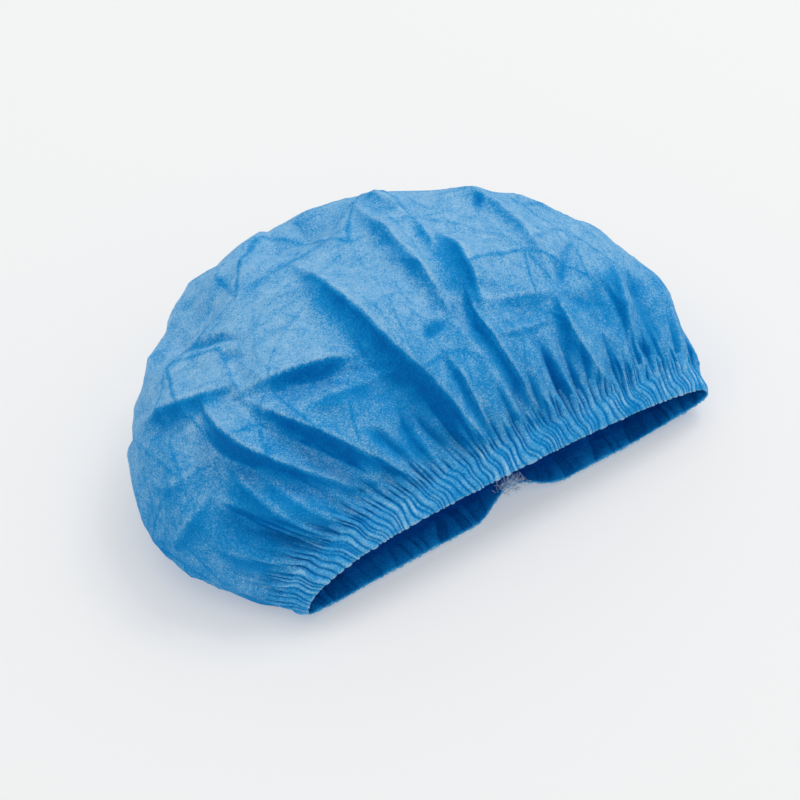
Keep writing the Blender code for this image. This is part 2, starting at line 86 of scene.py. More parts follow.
# Finer sizes of the cloth that shows
RIBS = 165
RIB_RISE = 1.6 * MM
SEAM_RIB_SHARE = 1.5
RIB_LEAN = 1.5
RIB_WIGGLE = 0.22
HEM_SKIN = 0.8 * MM
HEM_COLUMNS = 2200
LAP = 0.25 * MM
SEAM_LIFT = 0.7 * MM
INNER_RIBS = 84
PUCKERS = 71
PUCKER = 3.2 * MM
PLEATS = 27
PLEAT = 5.0 * MM
FOLD_STEPS = 24
FOLD_POINT = 0.36
LIGHT_POWER = 1.3
DARK_POWER = 1.9
VALLEY_POWER = 1.2
# How the painted shade beside a fold falls off, and how far from the crest it begins
SHADE_POWER = 1.3
SHADE_START = 2.2 * MM
# Reach of the painted highlight along a ridge's crest
HIGHLIGHT_REACH = 3.0 * MM
RIDGE_ROUND = 0.8 * MM
REST_GAP = 0.1 * MM
FACET_SAG = 0.35
CREASE_WIDTH = 1.8 * MM
FACET_SPACING = 42 * MM
FACET_RISE = 2.4 * MM
FACET_CREASE_SHADE = 0.40
SMALL_FACET_SPACING = 18 * MM
SMALL_FACET_RISE = 1.3 * MM
SMALL_FACET_CREASE_SHADE = 0.12
END_WIDTH = 0.15
SEAM_TAPER = 0.35
SEAM_NEAR = 0.08
LOOSE_FIBRES = 150

SECTION_COLUMNS = ("along", "back_top", "back_low", "mouth", "left", "right", "peak", "top", "low",
                   "square", "waist_left", "waist_right")
SECTIONS = (
    (0.00, 0.000, 0.055, 1.00, 0.00, 0.00, 0.35, 0.00, 0.00, 2.3, 0.21, 0.32),
    (0.06, 0.038, 0.100, 0.66, 0.34, 0.34, 0.28, 0.29, -0.04, 2.2, 0.23, 0.36),
    (0.16, 0.107, 0.180, 0.30, 0.70, 0.70, 0.20, 0.63, -0.08, 2.1, 0.25, 0.38),
    (0.30, 0.229, 0.290, 0.00, 1.00, 1.00, 0.16, 0.92, -0.09, 2.1, 0.26, 0.40),
    (0.46, 0.414, 0.450, 0.00, 0.99, 0.99, 0.14, 1.00, -0.09, 2.1, 0.27, 0.40),
    (0.62, 0.612, 0.600, 0.00, 0.93, 0.89, 0.12, 1.00, -0.08, 2.0, 0.28, 0.40),
    (0.76, 0.790, 0.740, 0.00, 0.76, 0.71, 0.12, 0.93, -0.05, 2.0, 0.31, 0.41),
    (0.87, 0.910, 0.845, 0.00, 0.55, 0.48, 0.17, 0.79, 0.02, 2.0, 0.36, 0.43),
    (0.95, 0.972, 0.925, 0.00, 0.34, 0.21, 0.30, 0.61, 0.16, 2.0, 0.44, 0.46),
    (1.00, 1.000, 0.994, 0.00, 0.13, -0.10, 0.86, 0.40, 0.37, 2.0, 0.50, 0.50),
)
RIM_STEP = {"back_top": -0.75, "back_low": -1.0, "left": -0.40, "right": -0.22, "top": -0.61, "low": 0.11}

# Folds: each runs through three places on the cloth. Rise is a share of FOLD_RISE, negative for a valley.
# The two widths are shares of FOLD_REACH, on the left and the right of the fold's way. The last column says
# how much deeper in colour the cloth is painted, as painted shade, on the right of a ridge, the side turned
# from the light, and in a valley.
FOLD_COLUMNS = ("name", "hour_1", "along_1", "hour_2", "along_2", "hour_3", "along_3",
                "rise", "left_width", "right_width", "painted_shade")
FOLDS = (
    ("long ridge", 5.4, 0.64, 5.5, 0.36, 5.9, 0.03, 0.85, 1.60, 1.00, 1.00),
    ("hollow left of the long ridge", 5.0, 0.38, 5.2, 0.22, 5.4, 0.04, -0.50, 0.70, 1.20, 0.30),
    ("second ridge, upper part", 7.5, 0.78, 7.0, 0.50, 6.9, 0.28, 0.65, 1.30, 0.60, 0.55),
    ("second ridge, lower part", 6.9, 0.34, 6.8, 0.18, 6.9, 0.03, 0.40, 0.35, 0.90, 0.15),
    ("third ridge, upper part", 7.9, 0.53, 7.7, 0.40, 7.4, 0.26, 0.75, 1.20, 1.05, 0.95),
    ("third ridge, lower part", 7.4, 0.36, 7.2, 0.19, 7.4, 0.03, 0.70, 1.20, 0.40, 1.00),
    ("cross edge", 2.8, 0.40, 4.0, 0.35, 5.3, 0.30, 0.60, 1.40, 0.42, 0.90),
    ("cross valley", 3.0, 0.36, 4.1, 0.31, 5.2, 0.27, -0.35, 0.40, 0.60, 0.25),
    ("cross ridge", 3.6, 0.27, 4.5, 0.25, 5.5, 0.23, 0.35, 0.40, 0.60, 0.50),
    ("ridge above the wide valley", 3.0, 0.40, 3.6, 0.20, 4.1, 0.02, 0.80, 1.20, 0.48, 1.00),
    ("wide valley", 3.0, 0.35, 3.3, 0.20, 3.7, 0.03, -0.35, 0.40, 0.90, 0.10),
    ("ridge above the left valley", 2.6, 0.47, 2.6, 0.30, 3.2, 0.06, 0.85, 0.90, 0.60, 1.00),
    ("left valley", 2.2, 0.43, 2.3, 0.28, 2.8, 0.05, -0.45, 0.45, 0.80, 0.20),
    ("left edge", 1.3, 0.58, 2.4, 0.48, 3.3, 0.40, 0.50, 0.90, 0.65, 0.95),
    ("left belly crease", 1.3, 0.57, 1.8, 0.49, 2.3, 0.44, -0.30, 0.30, 0.50, 0.35),
    ("small left crease", 2.2, 0.68, 3.1, 0.61, 3.8, 0.50, -0.30, 0.20, 0.30, 0.55),
    ("lower middle ridge", 2.5, 0.25, 2.4, 0.13, 2.4, 0.03, 0.50, 0.40, 0.60, 0.60),
    ("lower left ridge", 2.3, 0.29, 2.1, 0.18, 2.0, 0.03, 0.60, 0.50, 0.80, 0.70),
    ("lower left valley", 1.6, 0.26, 1.5, 0.14, 1.7, 0.03, -0.50, 0.45, 0.90, 0.45),
    ("left belly line", 0.3, 0.32, 0.9, 0.28, 1.9, 0.27, 0.35, 0.60, 0.70, 0.55),
    ("low left ridge", 0.9, 0.21, 1.0, 0.11, 1.1, 0.03, 0.45, 0.60, 0.60, 0.60),
    ("left body ridge", 1.0, 0.44, 1.3, 0.37, 2.0, 0.34, 0.25, 0.80, 0.60, 0.25),
    ("flat back of the top", 4.4, 0.80, 5.7, 0.75, 7.4, 0.74, -1.00, 1.70, 1.50, 0.0),
    ("left shoulder flat", 1.6, 0.70, 2.8, 0.70, 4.4, 0.74, -0.95, 1.70, 1.60, 0.0),
    ("right shoulder", 8.6, 0.66, 9.9, 0.60, 11.0, 0.50, 0.55, 2.00, 2.00, 0.0),
    ("back corner", 7.9, 0.80, 7.9, 0.70, 7.8, 0.60, 0.55, 0.80, 0.80, 0.30),
    ("right corner", 9.6, 0.72, 9.3, 0.50, 9.1, 0.29, 0.40, 0.90, 0.50, 0.50),
    ("star crease left", 7.4, 0.30, 8.2, 0.28, 9.1, 0.26, 0.30, 0.80, 0.50, 0.50),
    ("star crease down", 9.0, 0.28, 8.8, 0.15, 9.2, 0.03, 0.40, 0.80, 0.34, 0.60),
    ("right valley", 10.1, 0.30, 9.9, 0.20, 10.0, 0.08, -0.35, 0.50, 0.60, 0.30),
    ("right ridge", 10.8, 0.34, 10.4, 0.22, 10.2, 0.09, 0.45, 0.55, 0.60, 0.50),
    ("far right valley", 11.0, 0.31, 11.0, 0.20, 10.8, 0.05, -0.45, 0.50, 0.55, 0.40),
    ("right end ridge", 12.1, 0.42, 11.8, 0.24, 11.6, 0.05, 0.25, 0.60, 0.60, 0.10),
    ("right end valley", 13.0, 0.50, 12.6, 0.26, 12.4, 0.06, -0.45, 0.70, 0.70, 0.20),
    ("back ridge", 10.6, 0.92, 11.2, 0.78, 11.6, 0.58, 0.45, 0.80, 0.80, 0.40),
    ("back valley", 9.0, 0.92, 9.6, 0.82, 10.4, 0.70, -0.55, 0.70, 0.70, 0.35),
    ("back left ridge", 3.0, 0.94, 2.2, 0.84, 1.4, 0.68, 0.65, 0.80, 0.80, 0.60),
    ("back left valley", 0.8, 0.90, 0.6, 0.74, 0.9, 0.56, -0.60, 0.80, 0.80, 0.35),
    ("low back ridge", 22.6, 0.92, 22.9, 0.78, 23.4, 0.60, 0.50, 0.80, 0.80, 0.60),
    ("low right ridge", 14.0, 0.90, 13.5, 0.76, 13.3, 0.60, 0.50, 0.80, 0.80, 0.60),
)

# Small creases that only show close up, in the same columns
CREASES = (
    ("top line", 3.6, 0.61, 5.2, 0.66, 6.9, 0.68, -0.18, 0.22, 0.35, 0.40),
    ("dark line right of the long ridge", 6.3, 0.25, 6.2, 0.13, 6.2, 0.02, 0.40, 0.60, 0.32, 0.95),
    ("short top crease", 6.1, 0.27, 6.4, 0.28, 6.8, 0.29, -0.22, 0.30, 0.30, 0.60),
    ("right fine ridge", 7.3, 0.21, 7.9, 0.20, 8.7, 0.20, 0.28, 0.25, 0.30, 0.45),
    ("far right crease", 10.3, 0.10, 10.5, 0.07, 10.7, 0.05, -0.25, 0.25, 0.25, 0.50),
    ("upper right crease", 8.9, 0.55, 9.3, 0.60, 9.6, 0.66, -0.15, 0.15, 0.18, 0.60),
    ("upper streak", 7.8, 0.60, 7.6, 0.52, 7.4, 0.43, 0.25, 0.35, 0.40, 0.75),
    ("star ray right", 9.0, 0.26, 9.6, 0.34, 10.3, 0.42, -0.22, 0.25, 0.30, 0.45),
    ("star ray far right", 9.0, 0.25, 9.5, 0.22, 10.0, 0.19, -0.18, 0.25, 0.30, 0.40),
    ("front crease", 5.0, 0.15, 4.8, 0.09, 4.7, 0.03, -0.30, 0.25, 0.35, 0.80),
    ("front line", 4.1, 0.16, 4.3, 0.11, 4.4, 0.05, -0.20, 0.25, 0.30, 0.60),
    ("middle front line", 5.2, 0.12, 5.2, 0.08, 5.3, 0.03, -0.25, 0.25, 0.30, 0.60),
    ("short left crease", 3.2, 0.53, 3.4, 0.50, 3.6, 0.46, -0.20, 0.20, 0.30, 0.40),
)

# Rows of the crown's mesh: from one place along to the next, in how many steps and columns
CROWN_ROWS = ((0.003, 0.05, 14, 1150), (0.05, 0.13, 12, 860), (0.13, 0.60, 88, 640),
              (0.60, 0.90, 30, 420), (0.90, 0.99, 8, 150))
ROOT = "root"

# The side the light is taken to come from: flanks of folds turned away from it are painted in shade, a
# deeper colour
PAINTED_LIGHT_WAY = (0.85, 0.25, 0.46)
# Painted shade in the grooves between ribs, and the least of it on the ribs' tops
GROOVE_SHADE = 0.80
RIB_SHADE = 0.22
# Painted shade in a belt above the seam and over the low left end
BELT_SHADE = 0.22
LEFT_SHADE = 0.26

# How far the hem's ribs run on into the crown before they sink into it
TONGUE_ALONGS = (0.060, 0.051, 0.043, 0.036, 0.029, 0.022, 0.015, 0.009, 0.003)
RIB_FADE = 0.05
TONGUE_LIFT = 0.45 * MM
TONGUE_SINK = 1.2 * MM
TONGUE_STEP = 0.010
SEAM_SINK = 1.3 * MM
SEAM_ROUNDS = 7

# Camera, as the photograph looks at the cap
CAMERA_AZIMUTH = -37.0
CAMERA_ELEVATION = 45.0
CAMERA_LENS = 80.0
CAMERA_SENSOR = 36.0
CAMERA_DISTANCE = 827 * MM
AIM_YAW = 3.44
AIM_PITCH = 3.41


def smooth(share):
    """Ease from 0 to 1."""
    share = np.clip(share, 0.0, 1.0)
    return share * share * (3.0 - 2.0 * share)


def section(along):
    """The section at one place along the crown, its lengths in metres, by a monotone cubic."""
    table = np.array(SECTIONS)
    places = table[:, 0]
    steps = np.diff(places)
    slopes = np.diff(table, axis=0) / steps[:, None]
    tangents = np.vstack([slopes[0], 0.0 * slopes[1:], slopes[-1]])
    same_way = slopes[:-1] * slopes[1:] > 0.0
    near = 2.0 * steps[1:] + steps[:-1]
    far = steps[1:] + 2.0 * steps[:-1]
    safe_before = np.where(same_way, slopes[:-1], 1.0)
    safe_after = np.where(same_way, slopes[1:], 1.0)
    mean = (near + far)[:, None] / (near[:, None] / safe_before + far[:, None] / safe_after)
    tangents[1:-1] = np.where(same_way, mean, 0.0)
    at = int(np.clip(np.searchsorted(places, along, side="right") - 1, 0, len(steps) - 1))
    step = steps[at]
    t = (along - places[at]) / step
    row = ((1.0 + 2.0 * t) * (1.0 - t) ** 2 * table[at] + t * (1.0 - t) ** 2 * step * tangents[at]
           + t * t * (3.0 - 2.0 * t) * table[at + 1] + t * t * (t - 1.0) * step * tangents[at + 1])
    share = dict(zip(SECTION_COLUMNS, row))
    half_mouth = 0.5 * MOUTH_WIDTH
    left = share["mouth"] * half_mouth + share["left"] * CROWN_LEFT
    return {
        "back_top": share["back_top"] * CROWN_DEPTH,
        "back_low": share["back_low"] * CROWN_DEPTH,
        "left": left,
        "right": share["mouth"] * half_mouth + share["right"] * CROWN_RIGHT,
        "peak": -share["peak"] * left,
        "top": share["mouth"] * MOUTH_HEIGHT + share["top"] * CROWN_HEIGHT,
        "low": share["low"] * CROWN_HEIGHT,
        "square": share["square"],
        "waist_left": share["waist_left"],
        "waist_right": share["waist_right"],
    }


def rim_section():
    """The section at the rim of the hem, stepped off from the seam's."""
    rim = section(0.0)
    for key, share in RIM_STEP.items():
        rim[key] += share * HEM_DEPTH
    return rim


def section_curve(cut):
    """Fine points round a section, a skewed superellipse that starts at the left end."""
    turn = np.linspace(0.0, 2.0 * np.pi, CURVE_POINTS)
    across = -np.cos(turn)
    rise = np.sin(turn)
    width = np.where(across < 0.0, cut["peak"] + cut["left"], cut["right"] - cut["peak"])
    mix = 0.5 + 0.5 * across
    waist_share = cut["waist_left"] + (cut["waist_right"] - cut["waist_left"]) * mix
    waist = cut["low"] + waist_share * (cut["top"] - cut["low"])
    height = np.where(rise > 0.0, cut["top"] - waist, waist - cut["low"])
    bend = 2.0 / cut["square"]
    x = cut["peak"] + width * np.sign(across) * np.abs(across) ** bend
    y = cut["back_low"] + (cut["back_top"] - cut["back_low"]) * (0.5 + 0.5 * rise)
    z = waist + height * np.sign(rise) * np.abs(rise) ** bend
    return x, y, z


def loop_points(cut, hours, guide=None):
    """Points round a section, spaced by its own length or by the length of a guide section."""
    curve = section_curve(cut)
    guide_x, _, guide_z = curve if guide is None else section_curve(guide)
    way = np.concatenate([[0.0], np.cumsum(np.hypot(np.diff(guide_x), np.diff(guide_z)))])
    wanted = np.mod(hours, DIAL) / DIAL * way[-1]
    return np.stack([np.interp(wanted, way, values) for values in curve], axis=1)


def pull_at_join(points, hours, share):
    """Pull the lower edge back and up where the hem is joined."""
    reach = np.clip((points[:, 0] - JOIN_X) / JOIN_REACH, -1.0, 1.0)
    amount = share * np.cos(0.5 * np.pi * reach) ** 2 * (np.mod(hours, DIAL) > 0.5 * DIAL)
    pulled = points.copy()
    pulled[:, 1] += JOIN_BACK * amount
    pulled[:, 2] += JOIN_LIFT * amount
    return pulled


def crown_base(hours, along):
    """The crown's smooth middle surface, without folds."""
    seam_share = SEAM_PULL * (1.0 - smooth(along / PULL_END))
    return pull_at_join(loop_points(section(along), hours), hours, seam_share)


def crown_normals(hours, along):
    """Outward directions of the crown's smooth surface."""
    ahead = crown_base(hours + 0.1, along) - crown_base(hours - 0.1, along)
    back = crown_base(hours, min(along + 0.01, 1.0)) - crown_base(hours, max(along - 0.01, 0.0))
    normals = np.cross(ahead, back)
    return normals / np.linalg.norm(normals, axis=1)[:, None]


def hem_outside():
    """Distance from the hem's middle surface to the frame's outer face."""
    return 0.5 * CROWN_WALL + CLEARANCE + HEM_WALL


def hem_floor():
    """Least height of the hem's middle surface."""
    return hem_outside() + HEM_GATHER


def lowest_height(along):
    """Least height of the crown's cloth: on the table, and higher where it runs into the hem."""
    return REST_GAP + (hem_floor() - REST_GAP) * (1.0 - smooth(along / HEM_LEAVE))


def hem_middle(hours, depth):
    """The hem's middle surface, straight from the seam to the rim."""
    seam = loop_points(section(0.0), hours)
    rim = loop_points(rim_section(), hours, section(0.0))
    for loop in (seam, rim):
        loop[:, 2] = np.maximum(loop[:, 2], hem_floor())
    seam = pull_at_join(seam, hours, SEAM_PULL)
    rim = pull_at_join(rim, hours, 1.0)
    return seam + (rim - seam) * (depth / HEM_DEPTH)


def hem_normals(hours, depth):
    """Outward directions of the hem's middle surface."""
    ahead = hem_middle(hours + 0.05, depth) - hem_middle(hours - 0.05, depth)
    down = hem_middle(hours, HEM_DEPTH) - hem_middle(hours, 0.0)
    normals = np.cross(down, ahead)
    return normals / np.linalg.norm(normals, axis=1)[:, None]


def find_shift():
    """Where the frame has put the cap: the step from these functions' places to the frame's."""
    hours = np.arange(2 * FRAME_GATHERS) * DIAL / (2 * FRAME_GATHERS)
    start = CROWN_TUCK + 2.0 * CLEARANCE
    corners = np.vstack([
        hem_middle(hours, depth) + hem_normals(hours, depth) * side * 0.5 * ELASTIC_THICKNESS
        for depth in (start, start + ELASTIC_WIDTH) for side in (1.0, -1.0)
    ])
    return np.array(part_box("elastic")[0]) - corners.min(axis=0)


def fold_relief(base, hours, along, folds):
    """At points on the crown: the sum of the folds' rises, the painted shade beside them and the painted
    highlight along crests.
    """
    t = np.linspace(0.0, 1.0, FOLD_STEPS + 1)
    relief = np.zeros(len(base))
    painted_shade = np.zeros(len(base))
    crest_highlight = np.zeros(len(base))
    for row in folds:
        fold = dict(zip(FOLD_COLUMNS, row))
        start = (1.0 - t) * (1.0 - 2.0 * t)
        middle = 4.0 * t * (1.0 - t)
        end = t * (2.0 * t - 1.0)
        fold_hours = start * fold["hour_1"] + middle * fold["hour_2"] + end * fold["hour_3"]
        fold_alongs = start * fold["along_1"] + middle * fold["along_2"] + end * fold["along_3"]
        places = zip(fold_hours, fold_alongs)
        line = np.array([crown_base(np.array([hour]), place)[0] for hour, place in places])
        widest = max(fold["left_width"], fold["right_width"]) * FOLD_REACH
        low = line.min(axis=0) - widest
        high = line.max(axis=0) + widest
        near = np.nonzero(np.all((base > low) & (base < high), axis=1))[0]
        ways = np.diff(line, axis=0)
        offsets = base[near][:, None, :] - line[None, :-1, :]
        shares = np.clip(np.sum(offsets * ways, axis=2) / np.sum(ways * ways, axis=1), 0.0, 1.0)
        gaps = np.linalg.norm(offsets - shares[:, :, None] * ways, axis=2)
        nearest = np.argmin(gaps, axis=1)
        picked = np.arange(len(near))
        distance = np.hypot(gaps[picked, nearest], RIDGE_ROUND)
        place = (nearest + shares[picked, nearest]) / FOLD_STEPS
        way_hours = np.diff(fold_hours)[nearest]
        way_alongs = np.diff(fold_alongs)[nearest]
        off_hours = hours[near] - np.interp(place, t, fold_hours)
        off_hours = np.mod(off_hours + 0.5 * DIAL, DIAL) - 0.5 * DIAL
        off_alongs = along[near] - np.interp(place, t, fold_alongs)
        side = way_hours * off_alongs - way_alongs * off_hours
        last = SEAM_TAPER if fold["along_3"] < SEAM_NEAR else 0.0
        taper = np.minimum(place, 1.0 - place + last * FOLD_POINT) / FOLD_POINT
        taper = np.clip(taper, 0.0, 1.0)
        width = np.where(side > 0.0, fold["left_width"], fold["right_width"]) * FOLD_REACH
        width = width * (END_WIDTH + (1.0 - END_WIDTH) * taper)
        share = np.clip(1.0 - distance / width, 0.0, 1.0)
        if fold["rise"] > 0.0:
            power = np.where(side > 0.0, LIGHT_POWER, DARK_POWER)
            fade = np.clip(distance / SHADE_START, 0.0, 1.0)
            # Painted shade on the right flank of a ridge, the side turned away from the light
            shade_share = np.where(side > 0.0, 0.0, share ** SHADE_POWER * fade)
            # Painted highlight: a narrow pale line along the ridge's crest
            glint = np.clip(1.0 - distance / HIGHLIGHT_REACH, 0.0, 1.0) * (1.0 - fade * (side <= 0.0))
            crest_highlight[near] = np.maximum(crest_highlight[near], glint * taper)
        else:
            power = VALLEY_POWER
            # Painted shade across a valley
            shade_share = share ** SHADE_POWER
        relief[near] += fold["rise"] * FOLD_RISE * share ** power * taper
        painted_shade[near] = np.maximum(painted_shade[near], fold["painted_shade"] * shade_share * np.sqrt(taper))
    return relief, painted_shade, crest_highlight


def facet_relief(hours, alongs, spacing, seed):
    """Flat facets between straight creases, laid out on the flat disc, and how near each place is to one."""
    draw = np.random.default_rng(seed)
    reach = 0.5 * CUT_DISC - 2.0 * HEM_DEPTH
    steps = int(reach / spacing) + 2
    grid = np.arange(-steps, steps + 1) * spacing
    knots = np.stack(np.meshgrid(grid, grid), axis=-1).reshape(-1, 2)
    knots = knots + draw.uniform(-0.42, 0.42, knots.shape) * spacing
    heights = draw.uniform(-1.0, 1.0, len(knots))
    faces = delaunay_2d_cdt([Vector(knot) for knot in knots], [], [], 0, 1e-7)[2]
    turn = 2.0 * np.pi * hours / DIAL
    place = (reach * (1.0 - alongs))[:, None] * np.stack([np.cos(turn), np.sin(turn)], axis=1)
    relief = np.zeros(len(place))
    crease = np.zeros(len(place))
    for face in faces:
        corner = knots[list(face)]
        low = corner.min(axis=0)
        high = corner.max(axis=0)
        near = np.nonzero(np.all((place >= low) & (place <= high), axis=1))[0]
        sides = np.stack([corner[1] - corner[0], corner[2] - corner[0]], axis=1)
        part = (place[near] - corner[0]) @ np.linalg.inv(sides).T
        shares = np.column_stack([1.0 - part.sum(axis=1), part])
        inside = np.all(shares >= -1e-6, axis=1)
        flat = shares[inside] @ heights[list(face)]
        sag = 27.0 * np.prod(np.clip(shares[inside], 0.0, 1.0), axis=1)
        relief[near[inside]] = flat - FACET_SAG * sag
        area = abs(np.linalg.det(sides))
        for apex in range(3):
            first, second = [index for index in range(3) if index != apex]
            length = np.linalg.norm(corner[first] - corner[second])
            fall = abs(heights[face[first]] - heights[face[second]])
            line = np.clip(1.0 - shares[inside, apex] * area / length / CREASE_WIDTH, 0.0, 1.0)
            crease[near[inside]] = np.maximum(crease[near[inside]], line * min(fall, 1.0))
    return relief, crease


def pleat_cells(turns, count, seed):
    """Which pleat each place is in, how far across it, and its width, for pleats of uneven width."""
    widths = np.random.default_rng(seed).uniform(0.45, 1.55, count)
    edges = np.concatenate([[0.0], np.cumsum(widths)]) / widths.sum()
    place = np.mod(turns, 1.0)
    index = np.clip(np.searchsorted(edges, place, side="right") - 1, 0, count - 1)
    share = (place - edges[index]) / (edges[index + 1] - edges[index])
    return index, share, widths[index]


def pleat_wave(turns, count, seed, flatness):
    """Pleats with sharp grooves between them, each of its own height, from 0 to about 1."""
    index, share, width = pleat_cells(turns, count, seed)
    heights = np.random.default_rng(seed + 1).uniform(0.40, 0.85, count)
    return (1.0 - np.abs(2.0 * share - 1.0) ** flatness) * heights[index] * np.sqrt(width)


def rib_cells(hours, depth_share, seed, count=RIBS):
    """The rib that each place is in, how far across it, and its width."""
    turn = 2.0 * np.pi * hours / DIAL
    lean = (depth_share - 0.3) * (0.7 * np.sin(9.0 * turn + seed) + 0.6 * np.sin(23.0 * turn + 5.0 * seed))
    lean += RIB_WIGGLE * np.sin(6.0 * depth_share + 17.0 * turn) - RIB_LEAN * depth_share
    return pleat_cells(hours / DIAL + lean / count, count, 20 + seed)


def rib_wave(hours, depth_share, seed, count=RIBS):
    """Height of the ribs of the gathered hem, from 0 in the grooves to about 1."""
    index, share, width = rib_cells(hours, depth_share, seed, count)
    draw = np.random.default_rng(40 + seed)
    at_seam = draw.uniform(0.35, 0.90, count)
    at_rim = draw.uniform(0.25, 0.90, count)
    height = at_seam[index] + (at_rim[index] - at_seam[index]) * depth_share
    return (1.0 - np.abs(2.0 * share - 1.0) ** 2.6) * height * np.sqrt(width)


def gather_relief(hours, along, sink=0.0):
    """Ribs, puckers and longer pleats that fan out from the seam, where the cloth can sink under the hem."""
    turn = 2.0 * np.pi * hours / DIAL
    wander = 0.35 * np.sin(3.0 * turn) + 0.13 * np.sin(11.0 * turn + 2.0)
    index = rib_cells(hours, 0.0, 0)[0]
    rib_end = np.random.default_rng(51).uniform(0.018, 0.085, RIBS)[index]
    rib_share = 1.0 - smooth((along - 0.3 * rib_end) / (0.7 * rib_end))
    pucker = pleat_wave(hours / DIAL + 1.3 * wander / PUCKERS, PUCKERS, 31, 1.6) - 0.4
    pleat = pleat_wave(hours / DIAL + wander / PLEATS, PLEATS, 33, 1.5) - 0.4
    pucker_end = 0.13 + 0.05 * np.sin(7.0 * turn)
    pucker_share = smooth(along / 0.03) * (1.0 - smooth((along - 0.04) / pucker_end))
    pleat_share = smooth(along / 0.05) * (1.0 - smooth((along - 0.06) / 0.24))
    ribs = seam_rise(hours) * rib_share + LAP * (1.0 - smooth(along / 0.02))
    ribs += SEAM_LIFT * (1.0 - smooth(along / 0.10)) - sink * (1.0 - smooth(along / 0.016))
    return ribs + PUCKER * pucker * pucker_share + PLEAT * pleat * pleat_share


def seam_rise(hours):
    """Height of the ribs at the seam, where the hem's cloth runs on into the crown's."""
    return SEAM_RIB_SHARE * RIB_RISE * rib_wave(hours, 0.0, 0)


def spread_hours(count):
    """Hours of the columns, closer together on the side that faces up."""
    fine = np.linspace(0.0, DIAL, 961)
    top = smooth(fine / 1.0 + 0.5) * smooth((12.5 - fine) / 1.0 + 0.5) + smooth(fine - 23.0 + 0.5)
    density = 1.0 + 2.6 * np.clip(top, 0.0, 1.0)
    way = np.concatenate([[0.0], np.cumsum(0.5 * (density[1:] + density[:-1]))])
    return np.interp(np.arange(count) / count * way[-1], way, fine)


def row_places():
    """Each row of the crown's mesh: its place along and its number of columns."""
    rows = []
    for start, end, steps, columns in CROWN_ROWS:
        for step in range(steps):
            rows.append((start + (end - start) * step / steps, columns))
    rows.append((CROWN_ROWS[-1][1], CROWN_ROWS[-1][3]))
    return rows


def zip_loops(first, second):
    """Triangles or quads between two loops of point numbers that may differ in count."""
    if len(first) == len(second):
        count = len(first)
        return [
            (first[i], first[(i + 1) % count], second[(i + 1) % count], second[i])
            for i in range(count)
        ]
    faces = []
    i = 0
    j = 0
    while i < len(first) or j < len(second):
        here = first[i % len(first)]
        there = second[j % len(second)]
        if j == len(second) or (i < len(first) and (i + 1) / len(first) <= (j + 1) / len(second)):
            faces.append((here, first[(i + 1) % len(first)], there))
            i += 1
        else:
            faces.append((here, second[(j + 1) % len(second)], there))
            j += 1
    return faces


def make_object(name, points, faces, material):
    """A smooth-shaded mesh object with its faces pointing out."""
    mesh = bpy.data.meshes.new(name)
    mesh.from_pydata([tuple(point) for point in points], [], faces)
    work = bmesh.new()
    work.from_mesh(mesh)
    bmesh.ops.recalc_face_normals(work, faces=work.faces)
    work.to_mesh(mesh)
    work.free()
    mesh.shade_smooth()
    mesh.materials.append(material)
    made = bpy.data.objects.new(name, mesh)
    bpy.context.scene.collection.objects.link(made)
    return made


def crown_rows():
    """The crown's cloth, row by row, with folds, creases, gathers and crumples."""
    rows = []
    bases = []
    normals = []
    for along, columns in row_places():
        hours = spread_hours(columns)
        normals.append(crown_normals(hours, along))
        bases.append(crown_base(hours, along))
        rows.append((hours, np.full(columns, along)))
    hours = np.concatenate([row[0] for row in rows])
    alongs = np.concatenate([row[1] for row in rows])
    base = np.vstack(bases)
    normal = np.vstack(normals)
    relief, painted_shade, crest_highlight = fold_relief(base, hours, alongs, FOLDS + CREASES)
    relief *= smooth(alongs / 0.02)
    relief += gather_relief(hours, alongs, SEAM_SINK)
    away = smooth((alongs - 0.05) / 0.2)
    facets, crease = facet_relief(hours, alongs, FACET_SPACING, 11)
    small_facets, small_crease = facet_relief(hours, alongs, SMALL_FACET_SPACING, 12)
    relief += (FACET_RISE * facets + SMALL_FACET_RISE * small_facets) * away
    # Painted shade along the facets' creases, stronger where the facets meet at a sharper step
    painted_shade = np.maximum(painted_shade, (FACET_CREASE_SHADE * crease + SMALL_FACET_CREASE_SHADE * small_crease) * away)
    points = base + normal * relief[:, None]
    points[:, 2] = np.maximum(points[:, 2], lowest_height(alongs))
    return points, normal, painted_shade, crest_highlight, [len(row[0]) for row in rows]


def tuck_rows(hours):
    """The crown's edge inside the hem, row by row up to the seam."""
    rise = seam_rise(hours)
    rows = [hem_middle(hours, 0.4 * CROWN_TUCK)]
    for depth, lift in ((2.0 * MM, -LAP), (0.8 * MM, 0.0), (0.0, LAP)):
        out = hem_normals(hours, depth) * (rise + SEAM_LIFT + lift - SEAM_SINK)[:, None]
        rows.append(hem_middle(hours, depth) + out)
    return rows


